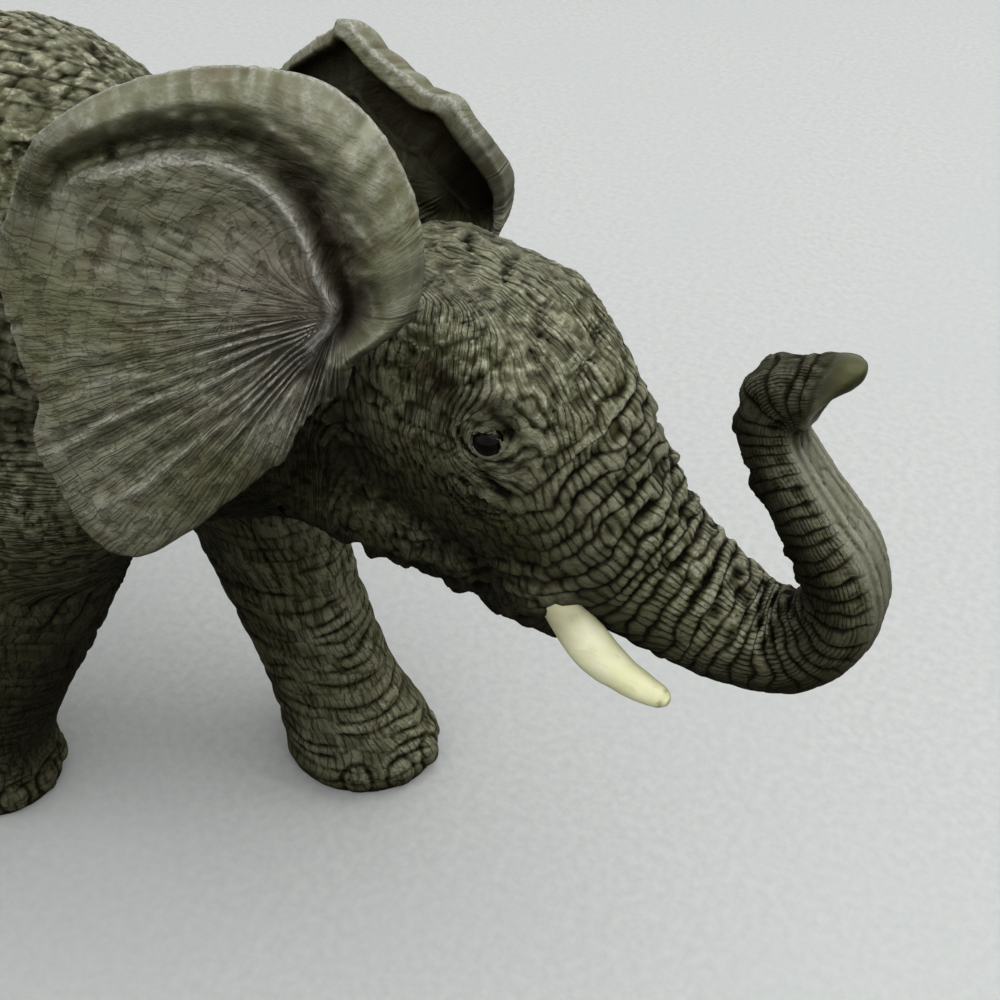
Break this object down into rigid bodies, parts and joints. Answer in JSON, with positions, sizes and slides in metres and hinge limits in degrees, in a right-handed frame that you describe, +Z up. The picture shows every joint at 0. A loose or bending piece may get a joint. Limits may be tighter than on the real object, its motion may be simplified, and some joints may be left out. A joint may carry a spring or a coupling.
{
  "type": "toy elephant figure",
  "caption": "Walking African elephant toy figure, moulded and painted, with wide ears, short tusks and a raised, curled trunk.",
  "frame": {"origin": "on the ground, under the middle of the bounding box", "axes": "+X the way the animal faces, +Y its left side, +Z up"},
  "size_m": [0.208, 0.0612, 0.1271],
  "materials": {
    "skin": "satin, washed dark in the wrinkles",
    "tusk": "satin ivory paint",
    "eye": "gloss"
  },
  "bodies": {
    "root": {"body_left_shell": "skin", "body_right_shell": "skin", "foreleg_left": "skin", "foreleg_right": "skin", "hindleg_left": "skin", "hindleg_right": "skin", "head": "skin", "trunk": "skin", "ear_left": "skin", "ear_right": "skin", "tusk_left": "tusk", "tusk_right": "tusk", "eye_left": "eye", "eye_right": "eye", "tail": "skin"}
  },
  "joints": []
}
